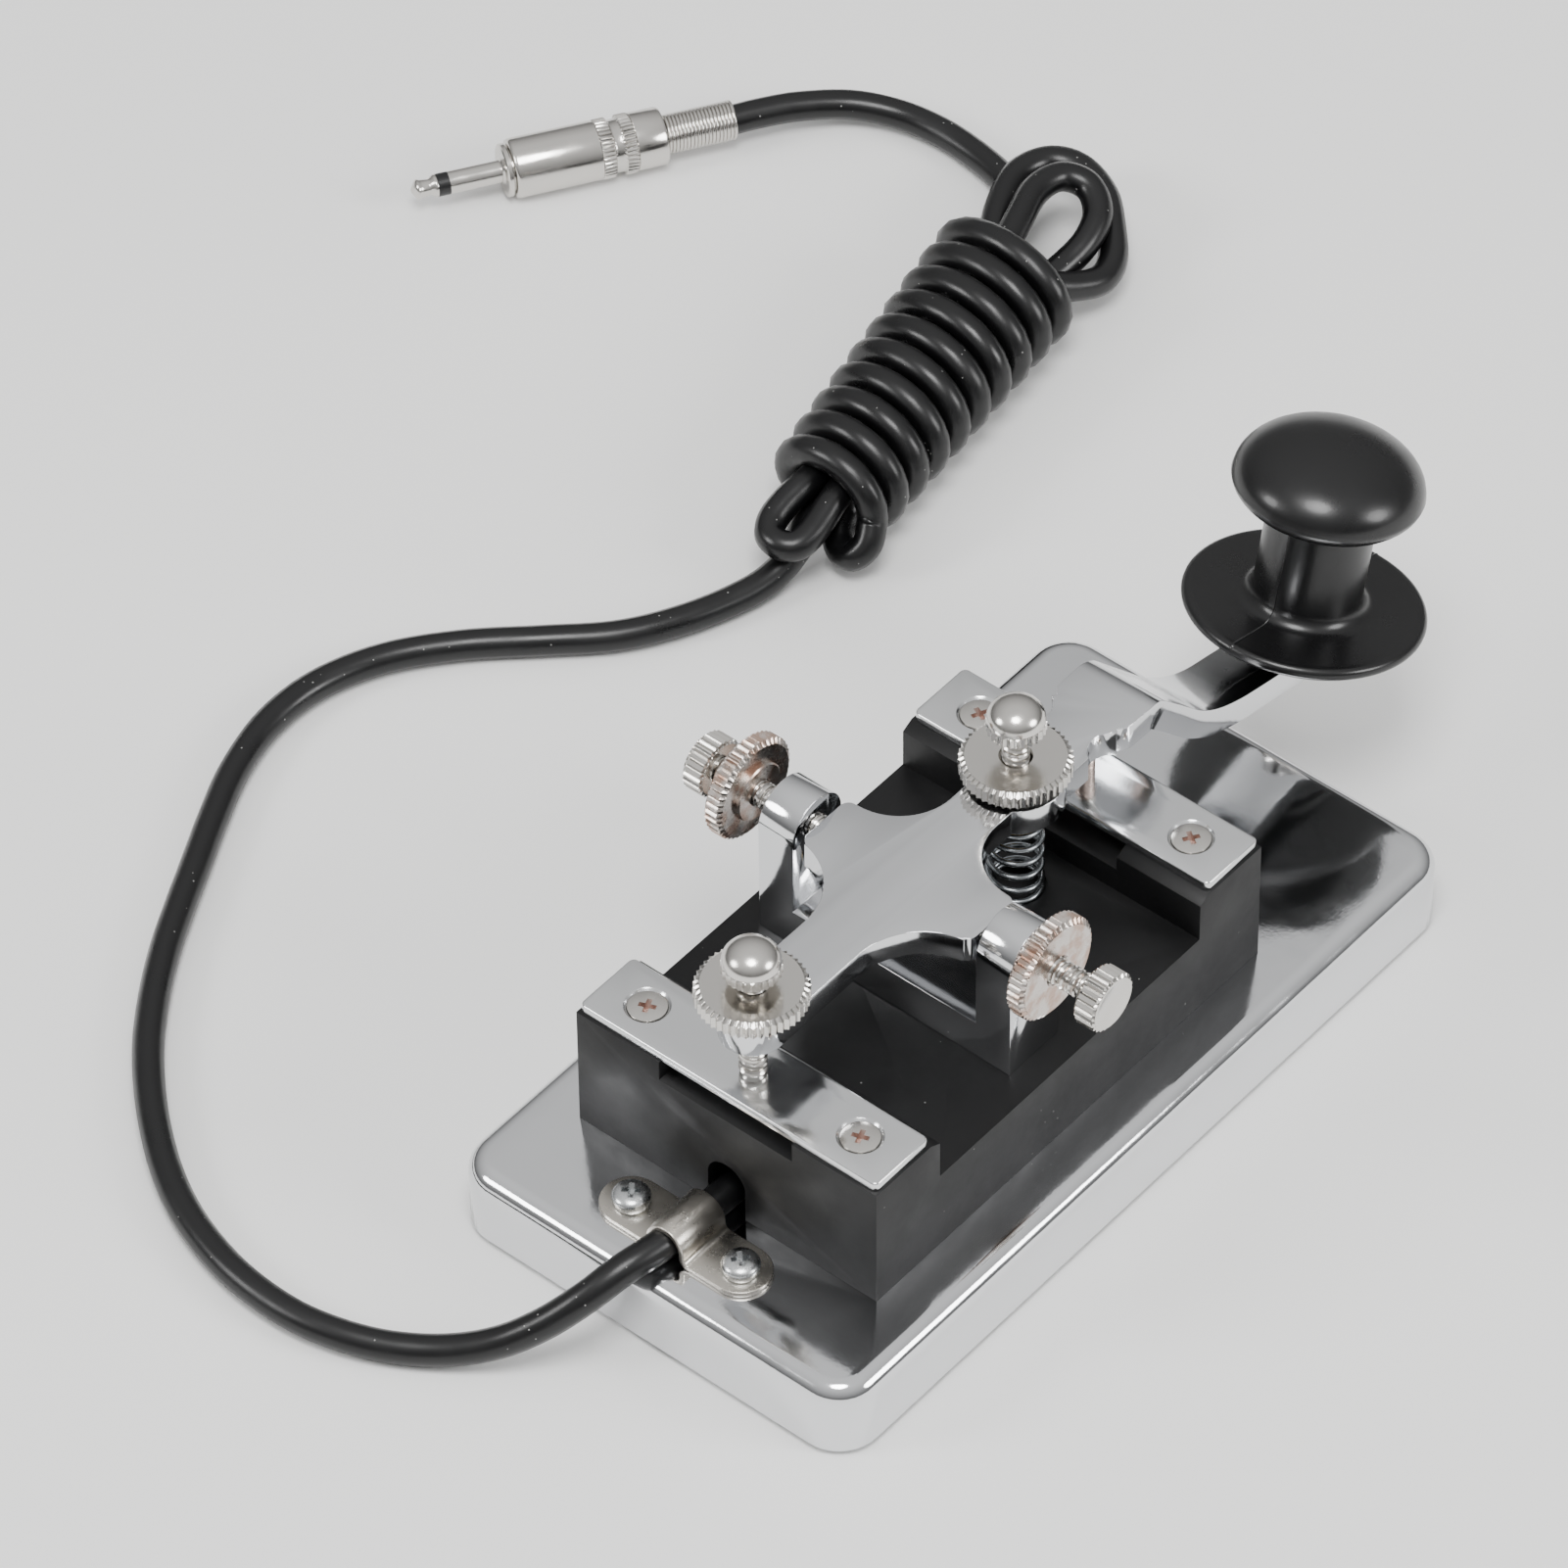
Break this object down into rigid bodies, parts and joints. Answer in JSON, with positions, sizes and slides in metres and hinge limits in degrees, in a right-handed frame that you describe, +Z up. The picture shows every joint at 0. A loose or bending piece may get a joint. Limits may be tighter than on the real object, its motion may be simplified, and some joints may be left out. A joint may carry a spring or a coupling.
{
  "type": "morse key",
  "caption": "Straight telegraph key: sprung lever with skirted knob on a contact block and heavy chromed base, with a wound cord and 3.5 mm mono plug.",
  "frame": {"origin": "centre of the base's underside, on the surface it stands on", "axes": "+Z up; +Y along the lever from the knob to the cord's exit; +X to the operator's right"},
  "size_m": [0.2079, 0.248, 0.0622],
  "materials": {
    "base": "mirror chrome plate on a casting",
    "bar": "mirror chrome plate",
    "bracket": "mirror chrome plate",
    "lever": "mirror chrome plate on a casting",
    "pad": "matt rubber",
    "block": "glossy moulded phenolic",
    "knob": "satin-gloss moulding",
    "screw": "bright zinc plate",
    "thumb": "bright nickel plate, knurled",
    "copper_nut": "worn nickel over copper",
    "contact": "bare copper alloy",
    "silver": "silver contact",
    "spring": "bright spring wire",
    "insert": "machined brass",
    "clamp": "satin nickel plate",
    "red_lead": "PVC insulation",
    "white_lead": "PVC insulation",
    "cord": "soft PVC, semi-gloss",
    "plug": "bright nickel plate",
    "plug_ring": "black insulation"
  },
  "bodies": {
    "key_base": {"base_casting": "base", "base_pad": "pad", "block_screws": "screw", "contact_block": "block", "rear_bar": "bar", "front_bar": "bar", "bar_screws": "screw", "trunnion_bracket": "bracket", "bracket_screws": "screw", "fixed_contact": "contact", "signal_lead": "red_lead", "return_lead": "white_lead", "cord_clamp": "clamp", "clamp_screws": "screw", "tension_spring": "spring", "cord_run": "cord", "cord_hank": "cord", "cord_tail": "cord", "plug_relief": "plug", "plug_barrel": "plug", "plug_sleeve": "plug", "plug_insulator": "plug_ring", "plug_tip": "plug"},
    "lever": {"lever": "lever", "knob": "knob", "knob_insert": "insert", "knob_screw": "screw", "lever_contact": "silver"},
    "gap_stud": {"gap_stud": "thumb"},
    "gap_head": {"gap_head": "thumb"},
    "gap_nut": {"gap_nut": "thumb"},
    "tension_stud": {"tension_stud": "thumb", "spring_cap": "insert"},
    "tension_head": {"tension_head": "thumb"},
    "tension_nut": {"tension_nut": "thumb"},
    "left_stud": {"left_stud": "thumb"},
    "left_head": {"left_head": "thumb"},
    "left_nut": {"left_nut": "copper_nut"},
    "right_stud": {"right_stud": "thumb"},
    "right_head": {"right_head": "thumb"},
    "right_nut": {"right_nut": "copper_nut"}
  },
  "joints": [
    {"name": "lever_pivot", "type": "hinge", "parent": "key_base", "child": "lever", "pos_m": [0, 0.0108, 0.0459], "axis": [1, 0, 0], "range_deg": [0, 0.85], "stiffness_Nm_per_rad": 0.8, "springref_deg": -5.73, "deforming": ["tension_spring"]},
    {"name": "gap_screw_travel", "type": "slide", "parent": "lever", "child": "gap_stud", "axis": [0, 0, 1], "range_m": [0, 0.0021]},
    {"name": "gap_screw_turn", "type": "hinge", "parent": "gap_stud", "child": "gap_head", "pos_m": [0, 0.04345, 0.054], "axis": [0, 0, 1], "range_deg": [0, 1080]},
    {"name": "gap_nut_turn", "type": "hinge", "parent": "lever", "child": "gap_nut", "pos_m": [0, 0.04345, 0.05], "axis": [0, 0, 1], "range_deg": [0, 360]},
    {"name": "tension_screw_travel", "type": "slide", "parent": "lever", "child": "tension_stud", "axis": [0, 0, 1], "range_m": [-0.0028, 0.0007], "deforming": ["tension_spring"]},
    {"name": "tension_screw_turn", "type": "hinge", "parent": "tension_stud", "child": "tension_head", "pos_m": [0, -0.0122, 0.057], "axis": [0, 0, 1], "range_deg": [-1440, 360]},
    {"name": "tension_nut_turn", "type": "hinge", "parent": "lever", "child": "tension_nut", "pos_m": [0, -0.0122, 0.05], "axis": [0, 0, 1], "range_deg": [0, 360]},
    {"name": "left_trunnion_travel", "type": "slide", "parent": "key_base", "child": "left_stud", "axis": [-1, 0, 0], "range_m": [0, 0.0014]},
    {"name": "left_trunnion_turn", "type": "hinge", "parent": "left_stud", "child": "left_head", "pos_m": [-0.033, 0.0108, 0.0459], "axis": [-1, 0, 0], "range_deg": [0, 720]},
    {"name": "left_nut_turn", "type": "hinge", "parent": "key_base", "child": "left_nut", "pos_m": [-0.024, 0.0108, 0.0459], "axis": [-1, 0, 0], "range_deg": [0, 360]},
    {"name": "right_trunnion_travel", "type": "slide", "parent": "key_base", "child": "right_stud", "axis": [1, 0, 0], "range_m": [0, 0.0014]},
    {"name": "right_trunnion_turn", "type": "hinge", "parent": "right_stud", "child": "right_head", "pos_m": [0.034, 0.0108, 0.0459], "axis": [1, 0, 0], "range_deg": [0, 720]},
    {"name": "right_nut_turn", "type": "hinge", "parent": "key_base", "child": "right_nut", "pos_m": [0.028, 0.0108, 0.0459], "axis": [1, 0, 0], "range_deg": [-360, 360]}
  ],
  "couplings": [
    {"joint": "gap_screw_turn", "follows": "gap_screw_travel", "rad_per_m": 8976},
    {"joint": "tension_screw_turn", "follows": "tension_screw_travel", "rad_per_m": 8976},
    {"joint": "left_trunnion_turn", "follows": "left_trunnion_travel", "rad_per_m": 8976},
    {"joint": "right_trunnion_turn", "follows": "right_trunnion_travel", "rad_per_m": 8976}
  ]
}
